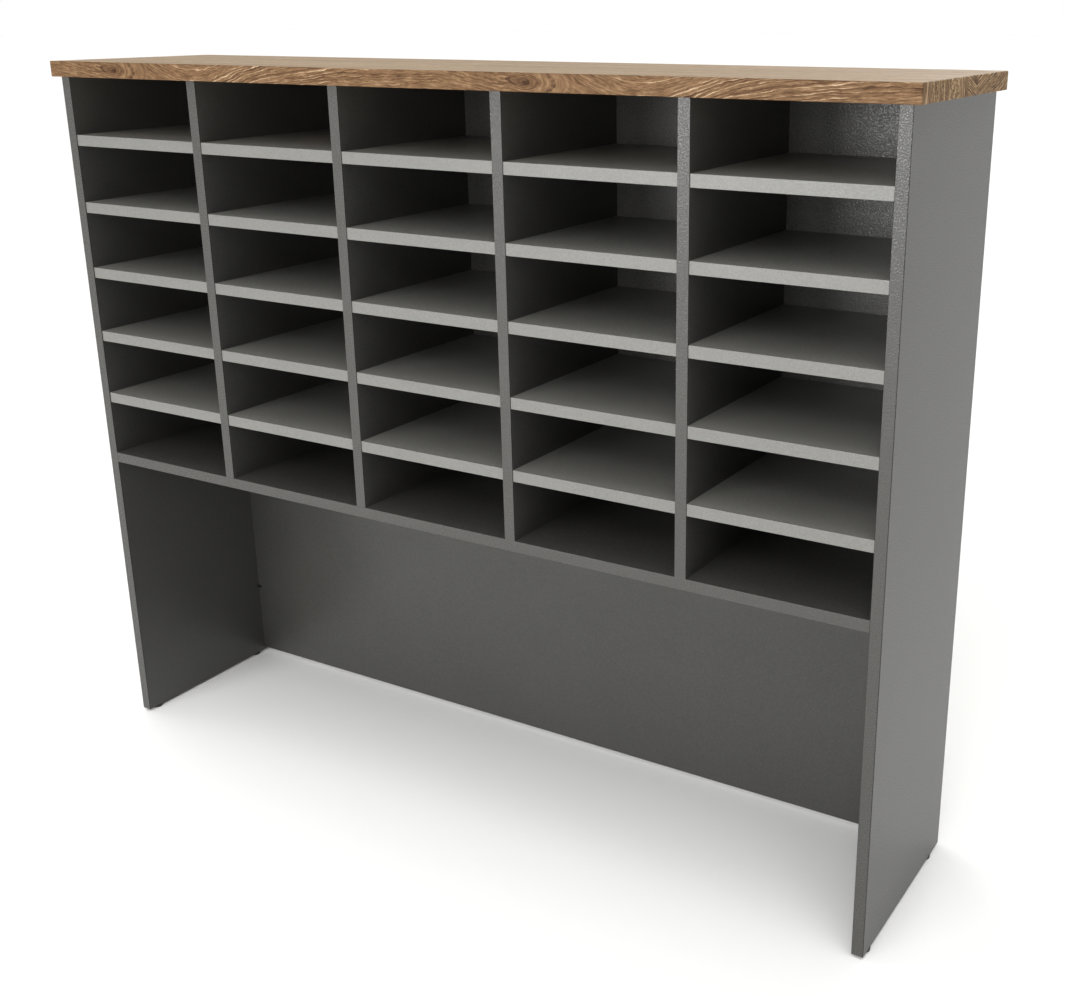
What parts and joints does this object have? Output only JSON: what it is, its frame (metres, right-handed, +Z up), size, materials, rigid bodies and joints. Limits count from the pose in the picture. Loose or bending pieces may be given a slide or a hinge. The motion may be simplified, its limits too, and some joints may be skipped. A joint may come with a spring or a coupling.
{
  "type": "pigeonhole mail sorter",
  "caption": "Free-standing mail sorter: a grid of open pigeonholes between charcoal side panels, with a wood-grain top and an open knee space under the bottom shelf.",
  "frame": {"origin": "on the floor, under the middle of the top", "axes": "+X along the width to the right seen from the front, +Y from the front to the back, +Z up"},
  "size_m": [1.5, 0.345, 1.205],
  "materials": {
    "charcoal_board": "charcoal melamine on particleboard, fine matte texture",
    "charcoal_band": "charcoal edging, fine matte texture",
    "grey_board": "light grey melamine on particleboard, fine matte texture",
    "grey_band": "light grey edging, fine matte texture",
    "back_board": "charcoal melamine on particleboard, pebbled matte texture",
    "woodgrain_board": "brown limed wood grain on particleboard, matte",
    "woodgrain_band": "brown limed wood grain edging, matte",
    "dowel_wood": "plain beech",
    "zinc": "die-cast zinc, dull",
    "steel": "zinc-plated steel",
    "black_plastic": "moulded, satin"
  },
  "bodies": {
    "root": {"back_panel_screws": "steel", "back_stop_pegs": "black_plastic", "bottom_shelf": "charcoal_board", "bottom_shelf_edge_bands": "charcoal_band", "bottom_shelf_end_dowels": "dowel_wood", "cam_bolts": "steel", "cam_drums": "zinc", "divider_1": "charcoal_board", "divider_2": "charcoal_board", "divider_3": "charcoal_board", "divider_4": "charcoal_board", "divider_edge_bands": "charcoal_band", "divider_foot_dowels": "dowel_wood", "glide_nails": "steel", "glide_pads": "black_plastic", "left_side_edge_bands": "charcoal_band", "left_side_panel": "charcoal_board", "lower_back_dowels": "dowel_wood", "lower_back_edge_band": "charcoal_band", "lower_back_panel": "charcoal_board", "right_side_edge_bands": "charcoal_band", "right_side_panel": "charcoal_board", "shelf_column_1_row_1": "grey_board", "shelf_column_1_row_2": "grey_board", "shelf_column_1_row_3": "grey_board", "shelf_column_1_row_4": "grey_board", "shelf_column_1_row_5": "grey_board", "shelf_column_2_row_1": "grey_board", "shelf_column_2_row_2": "grey_board", "shelf_column_2_row_3": "grey_board", "shelf_column_2_row_4": "grey_board", "shelf_column_2_row_5": "grey_board", "shelf_column_3_row_1": "grey_board", "shelf_column_3_row_2": "grey_board", "shelf_column_3_row_3": "grey_board", "shelf_column_3_row_4": "grey_board", "shelf_column_3_row_5": "grey_board", "shelf_column_4_row_1": "grey_board", "shelf_column_4_row_2": "grey_board", "shelf_column_4_row_3": "grey_board", "shelf_column_4_row_4": "grey_board", "shelf_column_4_row_5": "grey_board", "shelf_column_5_row_1": "grey_board", "shelf_column_5_row_2": "grey_board", "shelf_column_5_row_3": "grey_board", "shelf_column_5_row_4": "grey_board", "shelf_column_5_row_5": "grey_board", "shelf_edge_bands": "grey_band", "shelf_end_dowels": "dowel_wood", "shelf_through_dowels": "dowel_wood", "top_dowels": "dowel_wood", "top_end_edge_bands": "woodgrain_band", "top_front_edge_band": "woodgrain_band", "top_panel": "woodgrain_board", "top_rear_edge_band": "woodgrain_band", "upper_back_panel": "back_board"}
  },
  "joints": []
}
